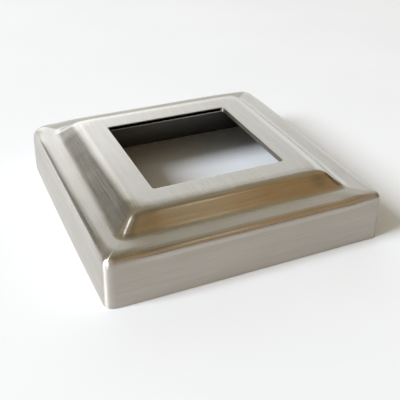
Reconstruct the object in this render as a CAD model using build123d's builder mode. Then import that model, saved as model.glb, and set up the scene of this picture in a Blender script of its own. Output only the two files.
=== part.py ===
from build123d import *
import math
import os

# Square post base cover: one shell of pressed stainless-steel sheet, open underneath.
# Millimetres, +Z up. The origin is the centre of the bottom rim, so the cover stands on
# z = 0 and the post runs up the Z axis through the square opening.

# ---- driving dimensions (mm, degrees) ----
base_side = 105.0        # outside width across the bottom rim
height = 24.5            # rim to plateau
sheet = 2.0              # thickness of the steel sheet
post_opening = 51.5      # square opening, a sliding fit on a 50.8 mm (2 in) square post
opening_corner = 1.2     # corner radius of the opening
cut_break = 0.3          # rounding where the punch and the trim die rolled the cut edges over

ledge_height = 18.6      # rim to the flat ledge round the raised middle
foot_side = 85.2         # width where the slope leaves the ledge
crest_side = 71.0        # width where the slope meets the plateau

skirt_draft = 1.1        # lean of the four walls, wider at the rim
skirt_corner = 3.2       # upright corners of the skirt
shoulder_radius = 2.8    # wall to ledge
foot_radius = 2.6        # hollow between ledge and slope
hip_radius = 3.0         # ridges where two slopes meet
crest_radius = 4.0       # slope to plateau
punch_hip = 1.5          # the same ridges on the underside
punch_crest = 2.0        # slope to plateau on the underside

# ---- derived ----
rise = height - ledge_height
run = (foot_side - crest_side) / 2
slope = math.atan2(rise, run)
hip_band = rise / 10     # of all edges only the ridges centre this near to mid-slope


def pressed_form(inset, corner, shoulder, foot, hip, crest):
    """Solid bounded by the pressed surface, moved inwards by inset from the outer skin."""
    rim_side = base_side - 2 * inset
    ledge_z = ledge_height - inset
    step_side = foot_side - 2 * inset * math.tan(slope / 2)
    with BuildPart() as form:
        with BuildSketch(Plane.XY):
            RectangleRounded(rim_side, rim_side, corner)
        extrude(amount=ledge_z, taper=skirt_draft)
        with BuildSketch(Plane.XY.offset(ledge_z)):
            Rectangle(step_side, step_side)
        extrude(amount=rise, taper=90 - math.degrees(slope))
        middle = ledge_z + rise / 2
        hips = form.edges().filter_by_position(Axis.Z, middle - hip_band, middle + hip_band)
        fillet(hips, hip)
        fillet(form.faces().sort_by(Axis.Z)[-1].edges(), crest)
        ledge = form.faces().filter_by(Plane.XY).sort_by(Axis.Z)[-2]
        fillet(ledge.inner_wires()[0].edges(), foot)
        ledge = form.faces().filter_by(Plane.XY).sort_by(Axis.Z)[-2]
        fillet(ledge.outer_wire().edges(), shoulder)
    return form.part


# ---- base_cover ----
outer_form = pressed_form(0, skirt_corner, shoulder_radius, foot_radius,
                          hip_radius, crest_radius)
cavity = pressed_form(sheet, skirt_corner - sheet, shoulder_radius - sheet,
                      foot_radius + sheet, punch_hip, punch_crest)

with BuildPart() as base_cover:
    add(outer_form)
    add(cavity, mode=Mode.SUBTRACT)
    with BuildSketch(Plane.XY.offset(height)):
        RectangleRounded(post_opening, post_opening, opening_corner)
    extrude(amount=-height, mode=Mode.SUBTRACT)
    plateau = base_cover.faces().sort_by(Axis.Z)[-1]
    fillet(plateau.inner_wires()[0].edges(), cut_break)
    rim = base_cover.faces().sort_by(Axis.Z)[0]
    fillet(rim.outer_wire().edges(), cut_break)
base_cover.part.label = "base_cover"

os.makedirs("parts", exist_ok=True)
export_step(base_cover.part, "parts/base_cover.step")
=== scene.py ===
import math
from collections import namedtuple

import bpy
import numpy as np
from mathutils import Matrix, Vector, noise


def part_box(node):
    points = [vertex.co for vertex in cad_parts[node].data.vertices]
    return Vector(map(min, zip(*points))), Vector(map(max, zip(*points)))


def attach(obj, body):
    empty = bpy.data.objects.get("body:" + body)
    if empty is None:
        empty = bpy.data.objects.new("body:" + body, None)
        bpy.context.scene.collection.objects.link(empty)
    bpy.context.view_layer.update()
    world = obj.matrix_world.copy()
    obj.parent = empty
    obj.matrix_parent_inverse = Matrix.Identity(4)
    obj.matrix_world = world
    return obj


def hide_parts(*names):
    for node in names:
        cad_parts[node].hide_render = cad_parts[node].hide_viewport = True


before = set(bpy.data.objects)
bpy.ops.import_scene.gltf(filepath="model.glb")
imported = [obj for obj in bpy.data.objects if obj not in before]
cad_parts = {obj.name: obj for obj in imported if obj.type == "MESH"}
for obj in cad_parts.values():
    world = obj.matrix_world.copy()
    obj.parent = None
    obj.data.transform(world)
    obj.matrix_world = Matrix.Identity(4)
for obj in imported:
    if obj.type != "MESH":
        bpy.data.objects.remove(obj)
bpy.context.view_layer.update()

# A square post base cover: one pressed shell of brushed stainless steel, open underneath,
# standing on a pale studio floor. +Z is up, the front faces -Y, and the origin is the centre
# of the bottom rim. The shell's sizes are in millimetres and become metres when the mesh is
# written. The studio's sizes are in metres.
#
# The mesh is a ring of columns, each with the same stations: up the outside of the skirt,
# over the ledge, the slope and the plateau, through the opening and back underneath. Seen
# from above, a station lies on a rounded square: "half" is half that square's width, and
# "plan" is its corners' radius.

MM = 0.001
NODE = "base_cover"
UP = math.pi / 2                  # straight up, where the angle 0 is straight outwards

# ---- main sizes; the frame gives the outside ones ----
BOX_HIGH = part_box(NODE)[1]
HALF = BOX_HIGH.x / MM            # centre to the outside of the rim
HEIGHT = BOX_HIGH.z / MM          # rim to plateau
SHEET = 2.0                       # thickness of the steel sheet
LEDGE = 19.2                      # rim to ledge
FRONT_FALL = 0.75                 # how much the front ledge falls from its foot to the shoulder
FOOT = 43.2                       # centre to the line where the slope leaves the ledge
CREST = 36.5                      # centre to the line where the slope meets the plateau
SLOPE = math.atan2(HEIGHT - LEDGE, FOOT - CREST)
DRAFT = math.radians(1.1)         # lean of the skirt
OPENING = 25.75                   # centre to the cut face of the post opening
OPENING_CORNER = 0.9              # plan radius of the opening's corners
CUT_ROUND = 0.14                  # rounding of the opening's two edges
RIM_ROUND = 0.3                   # rounding of the rim's outer edge

# ---- the outside's bends; the front side and the corners differ from the rest ----
SHOULDER = 2.6                    # radius of the shoulder's tight arc, where wall meets ledge
FRONT_SHOULDER = -0.5             # what the front side adds to that
SOFTER = 2.5                      # how much larger the radius of its soft arc is
FRONT_SOFTER = 1.0
FOOT_BEND = 5.0                   # hollow where ledge meets slope
FRONT_FOOT_BEND = 0.5
CREST_BEND = 6.0                  # where slope meets plateau

# ---- the same bends underneath ----
UNDER_SHOULDER = 0.9
UNDER_SOFTER = 3.0
UNDER_FOOT_BEND = 7.0
UNDER_CREST_BEND = 4.0
UNDER_HIP = 0.6                   # plan radius of the slope's corners, a share of the outside's
UNDER_CORNER = 0.8                # least plan radius of the skirt's corners

# ---- how the shoulder and the crest turn ----
# The shoulder is three arcs, easy, tight and soft, and the crest is a tight arc and a wide
# one. The later arcs start a step on, so that no station is repeated.
EASE = 5.0                        # how much larger the easy arc's radius is than the tight one's
EASE_TURN = math.radians(14)      # where the easy arc ends
TIGHT_START = EASE_TURN + 0.08
TIGHT_TURN = math.radians(62)     # where the tight arc ends
SOFT_START = TIGHT_TURN + 0.05
ROLL = 16.0                       # how much larger the wide arc's radius is
ROLL_TURN = math.radians(8)       # the slope at which the wide arc takes over
ROLL_START = UP - ROLL_TURN + 0.02

# ---- corners, by the signs of X and Y, in the order in which the columns pass them ----
CORNERS = ((1, -1), (1, 1), (-1, 1), (-1, -1))
SKIRT_CORNER = {(-1, -1): 3.4, (1, -1): 2.2, (1, 1): 4.0, (-1, 1): 5.0}    # plan radius
HIP_CORNER = {(-1, -1): 3.0, (1, -1): 1.6, (1, 1): 3.0, (-1, 1): 4.0}      # the slope's
FOOT_OUTER = (1.5, 1.5)           # plan radius where the foot's hollow starts: share of the
FOOT_INNER = (1.2, 0.6)           # hip's and what is added, and the same where it ends
SOFT_GROWTH = 2.0                 # how much the plan radius grows over the shoulder's soft arc

# ---- what pressing and handling did to the shell ----
CORNER_PULL = {(-1, -1): 0.35, (1, -1): 0.0, (1, 1): 0.35, (-1, 1): 0.45}  # drawn inwards
PULL_FROM, PULL_TO = 0.80, 0.96   # shares of HALF between which that sets in
CORNER_SWELL = {(-1, -1): 0.5, (1, -1): -0.7, (1, 1): 0.8, (-1, 1): 1.2}   # wider shoulder
SWELL_REACH = 14.0                # how far from a corner that starts
SIDE_REACH = 11.0                 # how far from its ends the front side gets its own shape
CREST_DROOP = {(-1, -1): 0.1, (1, -1): 0.9, (1, 1): 0.2, (-1, 1): 0.3}     # plateau lowered
DROOP_REACH = 10.0                # how far from a corner that starts
DROOP_EDGE = 1.0                  # how far outside the crest lines it is complete
RAISED_SHIFT = -0.5               # how far the raised middle sits off the centre in X
SHIFT_FROM = CREST - 2.0          # where that sets in, between the opening and the crest
SHIFT_HOLD = FOOT + 1.0           # where it starts to die out on the ledge
SHIFT_TO = 50.0
WAVE_HEIGHT = 0.035               # unevenness of the sheet
WAVE_LENGTH = 13.0
WAVE_RISE = 0.35                  # how fast it changes with height, beside sideways
WAVE_STEP = Vector((17.3, 5.1, 0.0))      # how far apart the seeds lie in the noise
TOP_WAVE = (0.5, 0.7)             # shares of HEIGHT between which the top's waves set in
SIDE_WAVE = (0.75, 0.9)           # shares of HALF between which the walls' waves set in

# ---- how rough the finish is; ridge is the shoulder's, top the ledge's and the plateau's ----
Finish = namedtuple("Finish", "wall ridge top slope edge")
BRUSHED = Finish(wall=0.43, ridge=0.15, top=0.30, slope=0.22, edge=0.15)   # edge is the crest's
CORNER_RIDGE = 0.17               # what a corner adds to the shoulder's roughness
SHEARED_EDGE = 0.45
MILL_FINISH = 0.33
EASED = 0.4                       # how far the wall's finish turns into the ridge's by TIGHT_START
FINISH_CHANGE = 0.4               # share of a run or an arc in which the finish changes

# ---- the way the brush ran: along X or along Y ----
BRUSHED_ALIKE = CREST - 2.5       # inside this half the whole plateau is brushed along Y
BRUSHED_ROUND = CREST + 0.5       # outside this one each side is brushed along itself
MITRE = 0.4                       # half the width in which the way turns at a corner
SLOPE_MITRE = 1.8                 # what the slope adds to that
SLOPE_MITRE_HOLD = FOOT - 2.5     # where it starts to die out, to be gone at the foot
SCATTER_FROM = HALF - 2.2         # where the skirt's slightly chalky surface sets in
SCATTER_TO = HALF - 0.8
SKIRT_METALLIC = 0.81

# ---- brush marks: width and length in millimetres, then the noise's seed and detail ----
HAIRLINE = (0.16, 9.0, 1, 3.0)
LINE = (0.42, 14.0, 2, 2.0)
BAND = (1.9, 34.0, 3, 2.0)
SEED_STEP = (0.37, 0.53, 0.71)    # how far apart the seeds lie in the noise, in metres

# ---- other noises: how many to the metre, detail and roughness ----
CLOUD = (1.0 / (11.0 * MM), 3.0, 0.55)
SMUDGE = (1.0 / (26.0 * MM), 2.0, 0.6)

# ---- how strongly they show; tone is brightness beside the tint ----
LINE_TONE, BAND_TONE, CLOUD_TONE = 0.30, 0.20, 0.14
CLOUD_ROUGHNESS = 0.12
LEAST_ROUGHNESS = 0.08
SMUDGE_FROM, SMUDGE_TO = 0.50, 0.72
SMUDGE_SHARE = 0.35
SMUDGE_TINT = (0.97, 0.93, 0.86)  # what a full smudge leaves of the tint
HAIRLINE_DEPTH = 0.004 * MM
LINE_DEPTH = 0.008 * MM
LINE_STRENGTH = 0.5

# ---- the two finishes of the steel; the inside's dark tint is painted shade ----
Steel = namedtuple("Steel", "name tint streaks anisotropic hairlines")
OUTSIDE = Steel("brushed_outside", (0.568, 0.544, 0.502), 0.14, 0.92, 0.6)
# The inside's tint is far darker than the outside's: painted shade for the hollow under the shell.
SHADED_INSIDE = Steel("mill_inside_painted_shade", (0.20, 0.195, 0.18), 0.10, 0.3, 0.9)

# ---- the mesh's columns on each straight side and in each corner ----
SIDE_COLUMNS = 56
CORNER_COLUMNS = 16


def smooth(low, high, value):
    """0 below low, 1 above high and an S curve between."""
    share = np.clip((value - low) / (high - low), 0.0, 1.0)
    return share * share * (3.0 - 2.0 * share)


# ---- the stations of every column ----

Bends = namedtuple("Bends", "shoulder soft foot crest")


class Profile:
    """Stations from the rim over the top and back underneath, one array entry per column."""

    FIELDS = ("half", "z", "plan", "rough", "inside")

    def __init__(self, columns):
        self.columns = columns
        for field in self.FIELDS:
            setattr(self, field, [])

    def add(self, *values):
        for field, value in zip(self.FIELDS, values):
            getattr(self, field).append(np.broadcast_to(np.asarray(value, float), self.columns))

    def run(self, half, z, plan, count, rough, inside=0.0):
        """Evenly spaced stations on the way to (half, z), which itself is left out."""
        start = self.half[-1], self.z[-1], self.plan[-1], self.rough[-1]
        for share in np.arange(1, count + 1) / (count + 1):
            blend = smooth(0.0, FINISH_CHANGE, share)
            self.add(start[0] + (half - start[0]) * share, start[1] + (z - start[1]) * share,
                     start[2] + (plan - start[2]) * share,
                     start[3] + (rough - start[3]) * blend, inside)

    def bend(self, half, z, radius, start, stop, plan, rough, count, lead, inside=0.0):
        """A straight run of lead stations, then an arc round (half, z) from start to stop.

        The arc has count steps. Angles go from outwards towards up. plan is the plan radius
        before and after the arc, rough the finish of the run and of the arc.
        """
        self.run(half + radius * np.cos(start), z + radius * np.sin(start),
                 plan[0], lead, rough[0], inside)
        for share in np.linspace(0.0, 1.0, count + 1):
            angle = start + (stop - start) * share
            blend = smooth(0.0, FINISH_CHANGE, share)
            self.add(half + radius * np.cos(angle), z + radius * np.sin(angle),
                     plan[0] + (plan[1] - plan[0]) * share,
                     rough[0] + (rough[1] - rough[0]) * blend, inside)


class Skin:
    """One face of the sheet from the wall to the plateau, inset inwards from the outside."""

    def __init__(self, profile, inset, corner, hip, fall, bends, finish):
        self.profile = profile
        self.inset = inset
        self.corner = corner
        self.hip = hip
        self.bends = bends
        self.finish = finish
        self.ledge_z = LEDGE - inset
        self.top_z = HEIGHT - inset
        self.shift = inset * math.tan(SLOPE / 2)
        self.tilt = np.arctan(fall / (HALF - FOOT))
        self.inside = float(inset > 0.0)
        self.add_shoulder()
        self.add_foot()
        self.add_crest()

    def bend(self, half, z, radius, turn, plan, rough, count, lead=0):
        self.profile.bend(half, z, radius, *turn, plan, rough, count, lead, self.inside)

    def add_shoulder(self):
        """Wall to ledge in three arcs that run into one another and into the tilted ledge."""
        tight, soft = self.bends.shoulder, self.bends.soft
        wall_half = HALF - self.inset - (self.ledge_z - tight) * math.tan(DRAFT)
        tight_half = wall_half - tight - EASE * (1.0 - math.cos(EASE_TURN))
        soft_half = tight_half - (soft - tight) * math.cos(TIGHT_TURN)
        drop = soft + (soft_half - FOOT + self.shift) * np.sin(self.tilt)
        soft_z = self.ledge_z - drop / np.cos(self.tilt)
        tight_z = soft_z + (soft - tight) * math.sin(TIGHT_TURN)
        straight = (self.corner, self.corner)
        wall, ridge = self.finish.wall, self.finish.ridge
        half_way = (1.0 - EASED) * wall + EASED * ridge
        self.bend(wall_half - tight - EASE, tight_z - EASE * math.sin(EASE_TURN), tight + EASE,
                  (DRAFT, EASE_TURN), straight, (wall, half_way), count=4, lead=12)
        self.bend(tight_half, tight_z, tight,
                  (TIGHT_START, TIGHT_TURN), straight, (half_way, ridge), count=10)
        self.bend(soft_half, soft_z, soft, (SOFT_START, UP - self.tilt),
                  (self.corner, self.corner + SOFT_GROWTH), (ridge, self.finish.top), count=7)

    def add_foot(self):
        """Ledge to slope: a hollow arc, centred on the line that halves their angle."""
        middle = (SLOPE + self.tilt) / 2
        reach = self.bends.foot / np.cos((SLOPE - self.tilt) / 2)
        plan = [times * self.hip + plus for times, plus in (FOOT_OUTER, FOOT_INNER)]
        self.bend(FOOT - self.shift + reach * np.sin(middle),
                  self.ledge_z + reach * np.cos(middle), self.bends.foot,
                  (-UP - self.tilt, -UP - SLOPE), plan,
                  (self.finish.top, self.finish.slope), count=12, lead=7)

    def add_crest(self):
        """Slope to plateau: a tight arc, then a wide one that dies out on the plateau."""
        tight = self.bends.crest
        tight_z = self.top_z - tight - ROLL * (1.0 - math.cos(ROLL_TURN))
        away = tight + math.cos(SLOPE) * (tight_z - self.top_z)
        tight_half = CREST - self.shift - away / math.sin(SLOPE)
        straight = (self.hip, self.hip)
        self.bend(tight_half, tight_z, tight, (UP - SLOPE, UP - ROLL_TURN), straight,
                  (self.finish.slope, self.finish.edge), count=12, lead=10)
        self.bend(tight_half - ROLL * math.sin(ROLL_TURN), self.top_z - tight - ROLL,
                  tight + ROLL, (ROLL_START, UP), straight,
                  (self.finish.edge, self.finish.top), count=8)


def outer_profile(near, front, swell, corner, hip):
    """Stations from the rim's inner edge over the outside to the opening's lower edge.

    near is 1 in the corners and front on the front side. swell adds to the shoulder's radius.
    corner and hip are the plan radii of the skirt and of the slope.
    """
    profile = Profile(front.shape)
    profile.add(HALF - SHEET + RIM_ROUND, 0.0, corner - SHEET + RIM_ROUND, SHEARED_EDGE, 0.0)
    profile.bend(HALF - RIM_ROUND, RIM_ROUND, RIM_ROUND, -UP, 0.0, (corner - RIM_ROUND, corner),
                 (SHEARED_EDGE, BRUSHED.wall), count=5, lead=3)
    shoulder = SHOULDER + FRONT_SHOULDER * front + swell
    bends = Bends(shoulder, shoulder + SOFTER + FRONT_SOFTER * front,
                  FOOT_BEND + FRONT_FOOT_BEND * front, CREST_BEND)
    finish = BRUSHED._replace(ridge=BRUSHED.ridge + CORNER_RIDGE * near)
    Skin(profile, 0.0, corner, hip, FRONT_FALL * front, bends, finish)
    profile.bend(OPENING + CUT_ROUND, HEIGHT - CUT_ROUND, CUT_ROUND, UP, 2 * UP,
                 (OPENING_CORNER + CUT_ROUND, OPENING_CORNER), (BRUSHED.top, SHEARED_EDGE),
                 count=5, lead=14)
    profile.bend(OPENING + CUT_ROUND, HEIGHT - SHEET + CUT_ROUND, CUT_ROUND, 2 * UP, 3 * UP,
                 (OPENING_CORNER, OPENING_CORNER + CUT_ROUND), (SHEARED_EDGE, SHEARED_EDGE),
                 count=3, lead=6)
    return profile


def under_profile(front, swell, corner, hip):
    """Stations from the rim up the inside of the skirt to the underside of the plateau."""
    profile = Profile(front.shape)
    inner_corner = np.maximum(corner - SHEET, UNDER_CORNER)
    profile.add(HALF - SHEET, RIM_ROUND, inner_corner, MILL_FINISH, 1.0)
    shoulder = UNDER_SHOULDER + swell
    bends = Bends(shoulder, shoulder + UNDER_SOFTER, UNDER_FOOT_BEND, UNDER_CREST_BEND)
    finish = Finish(*[MILL_FINISH] * len(Finish._fields))
    Skin(profile, SHEET, inner_corner, hip * UNDER_HIP, FRONT_FALL * front, bends, finish)
    return profile


def cover_profile(near, front, swell, corner, hip):
    """All the stations: the outside's, then the underside's from the opening back out."""
    profile = outer_profile(near, front, swell, corner, hip)
    under = under_profile(front, swell, corner, hip)
    profile.run(under.half[-1], HEIGHT - SHEET, OPENING_CORNER + CUT_ROUND,
                count=8, rough=MILL_FINISH, inside=1.0)
    for field in Profile.FIELDS:
        getattr(profile, field).extend(reversed(getattr(under, field)))
    return profile


# ---- the columns ----

def ring_columns():
    """Place of each column: side, share along the straight stretch, angle round the corner."""
    places = []
    for side in range(4):
        for column in range(SIDE_COLUMNS):
            share = math.sin((column / SIDE_COLUMNS - 0.5) * math.pi)
            places.append((side, share, 0.0))
        for column in range(CORNER_COLUMNS):
            places.append((side, 1.0, column / CORNER_COLUMNS * math.pi / 2))
    return places


def plan_point(side, share, turn, half, plan):
    """Points on a rounded square: side 0 faces -Y and runs towards +X."""
    straight = half - plan
    along = straight * share + plan * math.sin(turn)
    out = straight + plan * math.cos(turn)
    cos = (1, 0, -1, 0)[side]
    sin = (0, 1, 0, -1)[side]
    return along * cos + out * sin, along * sin - out * cos


def corner_nearness(places):
    """1 in the corner arcs, falling to 0 at SWELL_REACH from the corner."""
    distance = np.array([HALF * (1.0 - abs(share)) for side, share, turn in places])
    return 1.0 - smooth(0.0, SWELL_REACH, distance)


def side_share(places, side):
    """1 along a side, falling to 0 towards its ends."""
    distance = np.array([HALF * (1.0 - abs(share)) if place_side == side else 0.0
                         for place_side, share, turn in places])
    return smooth(0.0, SIDE_REACH, distance)


def at_corners(places, values):
    """The value at the corner that each column is nearest to."""
    return np.array([values[CORNERS[side if share >= 0 else side - 1]]
                     for side, share, turn in places])


# ---- unevenness ----

def by_corner(values, x, y):
    """Blends one value per corner over the plan."""
    across = np.clip(x / HALF, -1, 1)
    along = np.clip(y / HALF, -1, 1)
    return sum(values[x_sign, y_sign] * (1 + x_sign * across) * (1 + y_sign * along) / 4
               for x_sign, y_sign in CORNERS)


def droop_plateau(x, y, z):
    """Lowers the raised middle a little towards its corners, on both faces alike."""
    reach = np.hypot(np.maximum(CREST + DROOP_EDGE - np.abs(x), 0.0),
                     np.maximum(CREST + DROOP_EDGE - np.abs(y), 0.0))
    near = 1.0 - smooth(0.0, DROOP_REACH, reach)
    raised = smooth(LEDGE, HEIGHT, z)
    under_raised = smooth(LEDGE - SHEET, HEIGHT - SHEET, z) * (z < HEIGHT - SHEET / 2)
    return z - by_corner(CREST_DROOP, x, y) * near * np.maximum(raised, under_raised)


def shift_raised(x, y):
    """Moves the slope and the plateau's border, but neither the opening nor the shoulder."""
    reach = np.maximum(np.abs(x), np.abs(y))
    return x + RAISED_SHIFT * smooth(SHIFT_FROM, FOOT, reach) * (
        1.0 - smooth(SHIFT_HOLD, SHIFT_TO, reach))


def pull_corners(x, y):
    """Draws the skirt's corners in by a few tenths, as a drawn square's flange is."""
    amount = by_corner(CORNER_PULL, x, y)
    across = np.abs(x) / HALF
    along = np.abs(y) / HALF
    return (x - np.sign(x) * amount * along ** 3 * smooth(PULL_FROM, PULL_TO, across),
            y - np.sign(y) * amount * across ** 3 * smooth(PULL_FROM, PULL_TO, along))


def wave(points, seed):
    """Gentle unevenness of pressed sheet, the same on both of its faces."""
    offset = WAVE_STEP * seed
    return np.array([noise.noise(Vector((x, y, WAVE_RISE * z)) / WAVE_LENGTH + offset)
                     for x, y, z in points])


def ruffle(points):
    """Moves the points in by a few hundredths here and there, never out of the CAD box."""
    level = points[:, 2] / HEIGHT
    fall = (1.0 + wave(points, 1)) * WAVE_HEIGHT
    points[:, 2] -= fall * smooth(*TOP_WAVE, level)
    reach = np.maximum(np.abs(points[:, 0]), np.abs(points[:, 1])) / HALF
    side = (1.0 + wave(points, 2)) * WAVE_HEIGHT * smooth(*SIDE_WAVE, reach)
    for axis in (0, 1):
        share = points[:, axis] / HALF
        points[:, axis] -= share * np.abs(share) * side


# ---- the mesh ----

def cover_points(places, profile):
    """Every station of every column, as rows of points."""
    half, z, plan = np.array(profile.half), np.array(profile.z), np.array(profile.plan)
    x, y = np.empty_like(half), np.empty_like(half)
    for column, place in enumerate(places):
        x[:, column], y[:, column] = plan_point(*place, half[:, column], plan[:, column])
    z = droop_plateau(x, y, z)
    x = shift_raised(x, y)
    x, y = pull_corners(x, y)
    points = np.stack([x, y, z], axis=-1).reshape(-1, 3)
    ruffle(points)
    return points


def ring_faces(rows, columns):
    """Quads between neighbouring rows and columns, closed both ways round."""
    faces = []
    for row in range(rows):
        below = row * columns
        above = (row + 1) % rows * columns
        for column in range(columns):
            beside = (column + 1) % columns
            faces.append((below + column, below + beside, above + beside, above + column))
    return faces


def cover_mesh():
    """The shell as one closed quad mesh, with the attributes that its finish reads."""
    places = ring_columns()
    near = corner_nearness(places)
    profile = cover_profile(near, side_share(places, 0), near * at_corners(places, CORNER_SWELL),
                            at_corners(places, SKIRT_CORNER), at_corners(places, HIP_CORNER))
    points = cover_points(places, profile)
    faces = ring_faces(len(profile.half), len(places))
    mesh = bpy.data.meshes.new("cover_shell")
    mesh.from_pydata((points * MM).tolist(), [], faces)
    mesh.polygons.foreach_set("use_smooth", [True] * len(faces))
    inside = np.repeat(np.array(profile.inside)[:, 0], len(places))
    mesh.polygons.foreach_set("material_index", (inside > 0.5).astype(int).tolist())
    brush_attributes(mesh, points, np.array(profile.rough).reshape(-1))
    mesh.update()
    return mesh


def brush_attributes(mesh, points, rough):
    """What the finish reads at each point.

    along_x is 1 where the brush ran along X and 0 where along Y, across is the way over its
    lines, finish the roughness, and scatter 1 on the skirt.
    """
    x, y = np.abs(points[:, 0]), np.abs(points[:, 1])
    reach = np.maximum(x, y)
    mitre = MITRE + SLOPE_MITRE * (1.0 - smooth(SLOPE_MITRE_HOLD, FOOT, reach))
    along_x = smooth(-mitre, mitre, y - x) * smooth(BRUSHED_ALIKE, BRUSHED_ROUND, reach)
    scatter = smooth(SCATTER_FROM, SCATTER_TO, reach)
    for name, values in (("along_x", along_x), ("finish", rough), ("scatter", scatter)):
        layer = mesh.attributes.new(name, "FLOAT", "POINT")
        layer.data.foreach_set("value", values)
    layer = mesh.attributes.new("across", "FLOAT_VECTOR", "POINT")
    layer.data.foreach_set("vector", across_brush(mesh, points, along_x).reshape(-1))


def across_brush(mesh, points, along_x):
    """Unit vectors over the brush's lines, in the surface."""
    normals = np.empty(len(points) * 3)
    mesh.vertices.foreach_get("normal", normals)
    line = np.stack([along_x, 1.0 - along_x, np.zeros(len(points))], axis=-1)
    line *= np.where((points[:, 0] * points[:, 1] > 0)[:, None], [1.0, -1.0, 1.0], 1.0)
    across = np.cross(line, normals.reshape(-1, 3))
    return across / np.maximum(np.linalg.norm(across, axis=-1, keepdims=True), 1e-6)


# ---- materials ----

class Nodes:
    """A short way to write node trees."""

    def __init__(self, tree):
        self.tree = tree
        tree.nodes.clear()

    def new(self, kind, inputs=None, **settings):
        node = self.tree.nodes.new(kind)
        for name, value in settings.items():
            setattr(node, name, value)
        for name, value in (inputs or {}).items():
            self.feed(node.inputs[name], value)
        return node

    def feed(self, socket, value):
        if isinstance(value, bpy.types.NodeSocket):
            self.tree.links.new(value, socket)
        else:
            socket.default_value = value

    def math(self, operation, *values):
        node = self.new("ShaderNodeMath", dict(enumerate(values)), operation=operation)
        return node.outputs[0]

    def vector(self, operation, *values):
        node = self.new("ShaderNodeVectorMath", dict(enumerate(values)), operation=operation)
        return node.outputs["Value" if operation == "DOT_PRODUCT" else "Vector"]

    def scale(self, vector, factor):
        node = self.new("ShaderNodeVectorMath", {0: vector, "Scale": factor}, operation="SCALE")
        return node.outputs["Vector"]

    def mix(self, share, low, high):
        node = self.new("ShaderNodeMix", {0: share, 2: low, 3: high}, data_type="FLOAT")
        return node.outputs[0]

    def mix_colour(self, share, low, high):
        node = self.new("ShaderNodeMix", {0: share, 6: low, 7: high}, data_type="RGBA")
        return node.outputs[2]

    def attribute(self, name, output="Fac"):
        return self.new("ShaderNodeAttribute", attribute_name=name).outputs[output]

    def noise(self, coordinates, scale, detail=2.0, roughness=0.5):
        node = self.new("ShaderNodeTexNoise", {"Vector": coordinates, "Scale": scale,
                                               "Detail": detail, "Roughness": roughness})
        return node.outputs["Fac"]

    def range(self, value, low, high, to_low=0.0, to_high=1.0, kind="SMOOTHSTEP"):
        node = self.new("ShaderNodeMapRange",
                        {0: value, 1: low, 2: high, 3: to_low, 4: to_high},
                        interpolation_type=kind)
        return node.outputs[0]

    def uneven(self, *noises):
        """Sum of each noise's distance from its middle, times its weight."""
        parts = [self.math("MULTIPLY", self.math("SUBTRACT", value, 0.5), weight)
                 for value, weight in noises]
        total = parts[0]
        for part in parts[1:]:
            total = self.math("ADD", total, part)
        return total

    def output(self, shader, kind="ShaderNodeOutputMaterial"):
        output = self.new(kind)
        self.tree.links.new(shader.outputs[0], output.inputs[0])


def streaks(nodes, position, along_x, across_mm, along_mm, seed, detail):
    """Noise drawn out along the brushing: along X or along Y, as the attribute says."""
    fine = 1.0 / (across_mm * MM)
    long = 1.0 / (along_mm * MM)
    shifted = nodes.vector("ADD", position, tuple(seed * step for step in SEED_STEP))
    runs = []
    for stretch in ((fine, long, fine), (long, fine, fine)):
        runs.append(nodes.noise(nodes.vector("MULTIPLY", shifted, stretch), 1.0, detail))
    return nodes.mix(along_x, runs[0], runs[1])


def steel_colour(nodes, position, tint, line, band, cloud):
    """The tint, warmer where it is smudged, with lighter and darker brush marks."""
    smudge = nodes.noise(position, *SMUDGE)
    smudged = tuple(value * left for value, left in zip(tint, SMUDGE_TINT))
    stain = nodes.mix_colour(nodes.range(smudge, SMUDGE_FROM, SMUDGE_TO, 0.0, SMUDGE_SHARE),
                             (*tint, 1.0), (*smudged, 1.0))
    marks = nodes.uneven((line, LINE_TONE), (band, BAND_TONE), (cloud, CLOUD_TONE))
    return nodes.scale(stain, nodes.math("ADD", marks, 1.0))


def steel(look):
    """Stainless steel with hairlines, broader bands, cloudy smudges and polished ridges."""
    material = bpy.data.materials.new(look.name)
    material.use_nodes = True
    nodes = Nodes(material.node_tree)
    position = nodes.new("ShaderNodeTexCoord").outputs["Object"]
    along_x = nodes.attribute("along_x")
    hairline, line, band = [streaks(nodes, position, along_x, *marks)
                            for marks in (HAIRLINE, LINE, BAND)]
    cloud = nodes.noise(position, *CLOUD)

    spread = nodes.uneven((line, look.streaks), (cloud, CLOUD_ROUGHNESS))
    roughness = nodes.math("ADD", spread, nodes.attribute("finish"))
    bump = nodes.new("ShaderNodeBump", {"Height": hairline, "Distance": HAIRLINE_DEPTH,
                                        "Strength": look.hairlines})
    bump = nodes.new("ShaderNodeBump", {"Height": line, "Distance": LINE_DEPTH,
                                        "Strength": LINE_STRENGTH, "Normal": bump.outputs[0]})
    nodes.output(nodes.new("ShaderNodeBsdfPrincipled", {
        "Base Color": steel_colour(nodes, position, look.tint, line, band, cloud),
        "Metallic": nodes.range(nodes.attribute("scatter"), 0.0, 1.0, 1.0, SKIRT_METALLIC,
                                "LINEAR"),
        "Roughness": nodes.math("MAXIMUM", roughness, LEAST_ROUGHNESS),
        "Anisotropic": look.anisotropic,
        "Normal": bump.outputs[0],
        "Tangent": nodes.attribute("across", "Vector")}))
    return material


def floor_material():
    """Matt pale board with the faintest mottling."""
    material = bpy.data.materials.new("studio_floor")
    material.use_nodes = True
    nodes = Nodes(material.node_tree)
    position = nodes.new("ShaderNodeTexCoord").outputs["Object"]
    mottle = nodes.range(nodes.noise(position, FLOOR_MOTTLE), *FLOOR_CONTRAST)
    colour = nodes.mix_colour(mottle, FLOOR_DARKER, FLOOR_LIGHTER)
    nodes.output(nodes.new("ShaderNodeBsdfPrincipled", {
        "Base Color": colour, "Roughness": FLOOR_ROUGHNESS, "Specular IOR Level": FLOOR_SHINE}))
    return material


# ---- the object ----

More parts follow.
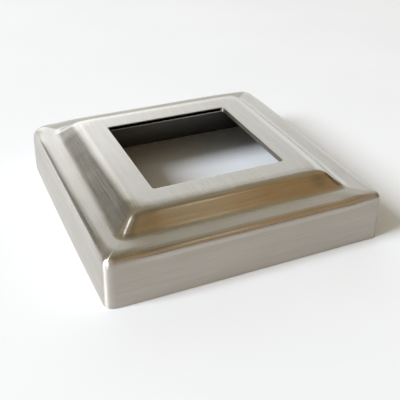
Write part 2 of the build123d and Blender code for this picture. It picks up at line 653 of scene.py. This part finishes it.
def build_cover():
    """The one piece, with the outside and the inside as two finishes; the inside's darker tint is
    painted shade.
    """
    mesh = cover_mesh()
    shell = bpy.data.objects.new("cover_shell", mesh)
    bpy.context.scene.collection.objects.link(shell)
    mesh.materials.append(steel(OUTSIDE))
    # The inside's material has a darkened tint that paints the shade under the shell.
    mesh.materials.append(steel(SHADED_INSIDE))
    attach(shell, "root")
    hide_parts(NODE)


# ---- the studio ----

FLOOR_HALF = 3.0
FLOOR_DROP = 0.00002              # keeps the floor just clear of the rim
FLOOR_MOTTLE = 14.0               # patches of mottling to the metre
FLOOR_CONTRAST = (0.3, 0.7)       # the noise at which they are darkest and lightest
FLOOR_DARKER = (0.885, 0.928, 0.970, 1.0)
FLOOR_LIGHTER = (0.900, 0.942, 0.985, 1.0)
FLOOR_ROUGHNESS = 0.9
FLOOR_SHINE = 0.1


def build_floor():
    """A plain square board, part of the studio and not of the object."""
    mesh = bpy.data.meshes.new("studio_floor")
    reach = FLOOR_HALF
    mesh.from_pydata([(-reach, -reach, 0), (reach, -reach, 0), (reach, reach, 0),
                      (-reach, reach, 0)], [], [(0, 1, 2, 3)])
    floor = bpy.data.objects.new("studio_floor", mesh)
    floor.location.z = -FLOOR_DROP
    bpy.context.scene.collection.objects.link(floor)
    mesh.materials.append(floor_material())


def direction(azimuth, elevation):
    """Unit vector; azimuth 0 is +Y and 90 is +X, in degrees."""
    turn, lift = math.radians(azimuth), math.radians(elevation)
    return Vector((math.sin(turn) * math.cos(lift), math.cos(turn) * math.cos(lift),
                   math.sin(lift)))


# What the steel reflects: a warm room, dim at table height and lighter further up, with
# patches on it. A patch has its full colour up to one angle from its middle and has faded at
# the other, and it covers the patches before it.
ROOM_LOW = (0.15, 0.09, 0.045, 1.0)
ROOM_HIGH = (0.395, 0.262, 0.124, 1.0)
ROOM_TOP = math.radians(64)       # where the room reaches ROOM_HIGH
Patch = namedtuple("Patch", "azimuth elevation full faded colour")
ROOM_PATCHES = (
    Patch(-95, 42, 12, 58, (0.45, 0.41, 0.35, 1.0)),       # wide pale wall round the window
    Patch(100, 26, 14, 28, (0.08, 0.06, 0.04, 1.0)),       # dark corner on the right
    Patch(20, 50, 14, 40, (0.34, 0.31, 0.22, 1.0)),        # wall above the backdrop
    Patch(0, 90, 13, 27, (0.20, 0.17, 0.11, 1.0)),         # dim ceiling
    Patch(-26, 28, 6, 20, (0.25, 0.245, 0.215, 1.0)),      # grey wall left of the backdrop
    Patch(28, 14, 21, 33, (1.07, 1.10, 1.12, 1.0)),        # white backdrop behind the object
    Patch(2, 16, 8, 24, (1.60, 1.64, 1.67, 1.0)),          # its brightest part
    Patch(-30, -6, 10, 25, (1.2, 1.22, 1.24, 1.0)),        # its foot, further left
    Patch(-125, 56, 8, 22, (0.8, 0.76, 0.66, 1.0)),        # lit wall high up, front left
    Patch(119.5, 66, 2, 5, (1.2, 1.1, 0.9, 1.0)),          # small ceiling lamp, front right
)
BEHIND_FLOOR = (0.93, 0.93, 0.92, 1.0)                 # what the camera sees past the floor


def build_world():
    """The room, which lights the object and shows only in its reflections."""
    world = bpy.data.worlds.new("studio_room")
    bpy.context.scene.world = world
    world.use_nodes = True
    nodes = Nodes(world.node_tree)
    ray = nodes.new("ShaderNodeTexCoord").outputs["Generated"]
    height = nodes.vector("DOT_PRODUCT", ray, (0.0, 0.0, 1.0))
    colour = nodes.mix_colour(nodes.range(height, 0.0, math.sin(ROOM_TOP)), ROOM_LOW, ROOM_HIGH)
    for patch in ROOM_PATCHES:
        centre = tuple(direction(patch.azimuth, patch.elevation))
        facing = nodes.vector("DOT_PRODUCT", ray, centre)
        share = nodes.range(facing, math.cos(math.radians(patch.faded)),
                            math.cos(math.radians(patch.full)))
        colour = nodes.mix_colour(share, colour, patch.colour)
    seen = nodes.new("ShaderNodeLightPath").outputs["Is Camera Ray"]
    colour = nodes.mix_colour(seen, colour, BEHIND_FLOOR)
    nodes.output(nodes.new("ShaderNodeBackground", {"Color": colour, "Strength": 1.0}),
                 "ShaderNodeOutputWorld")


WINDOW_TOWARDS = direction(-90, 36)
WINDOW_DISTANCE = 3.6
WINDOW_WIDTH = 1.25
WINDOW_HEIGHT = 1.65
WINDOW_POWER = 144.0
WINDOW_TINT = (0.973, 1.0, 1.05)


def build_window():
    """The one lamp: a soft rectangle on the left that faces the object."""
    data = bpy.data.lights.new("window", "AREA")
    data.shape = "RECTANGLE"
    data.size = WINDOW_WIDTH
    data.size_y = WINDOW_HEIGHT
    data.energy = WINDOW_POWER
    data.color = WINDOW_TINT
    lamp = bpy.data.objects.new("window", data)
    lamp.location = WINDOW_TOWARDS * WINDOW_DISTANCE
    lamp.rotation_mode = "QUATERNION"
    lamp.rotation_quaternion = WINDOW_TOWARDS.to_track_quat("Z", "Y")
    bpy.context.scene.collection.objects.link(lamp)


VIEW_AZIMUTH = math.radians(-24.727)
VIEW_ELEVATION = math.radians(32.371)
VIEW_ROLL = math.radians(1.01)
VIEW_PLACE = Vector((-0.09240, -0.20919, 0.14364))
LENS = 60.0
SENSOR_WIDTH = 36.0


def build_camera():
    """Looks down on the object from the front left."""
    data = bpy.data.cameras.new("camera")
    data.lens = LENS
    data.sensor_width = SENSOR_WIDTH
    data.clip_start = 0.01
    data.clip_end = 20.0
    camera = bpy.data.objects.new("camera", data)
    back = Vector((math.sin(VIEW_AZIMUTH) * math.cos(VIEW_ELEVATION),
                   -math.cos(VIEW_AZIMUTH) * math.cos(VIEW_ELEVATION),
                   math.sin(VIEW_ELEVATION)))
    right = Vector((math.cos(VIEW_AZIMUTH), math.sin(VIEW_AZIMUTH), 0.0))
    up = back.cross(right)
    x_axis = right * math.cos(VIEW_ROLL) + up * math.sin(VIEW_ROLL)
    y_axis = back.cross(x_axis)
    turn = Matrix((x_axis, y_axis, back)).transposed()
    camera.matrix_world = Matrix.Translation(VIEW_PLACE) @ turn.to_4x4()
    bpy.context.scene.collection.objects.link(camera)
    bpy.context.scene.camera = camera


def set_colour_management():
    """Colours as they are, without a film look."""
    view = bpy.context.scene.view_settings
    view.view_transform = "Standard"
    view.look = "None"


build_cover()
build_floor()
build_world()
build_window()
build_camera()
set_colour_management()
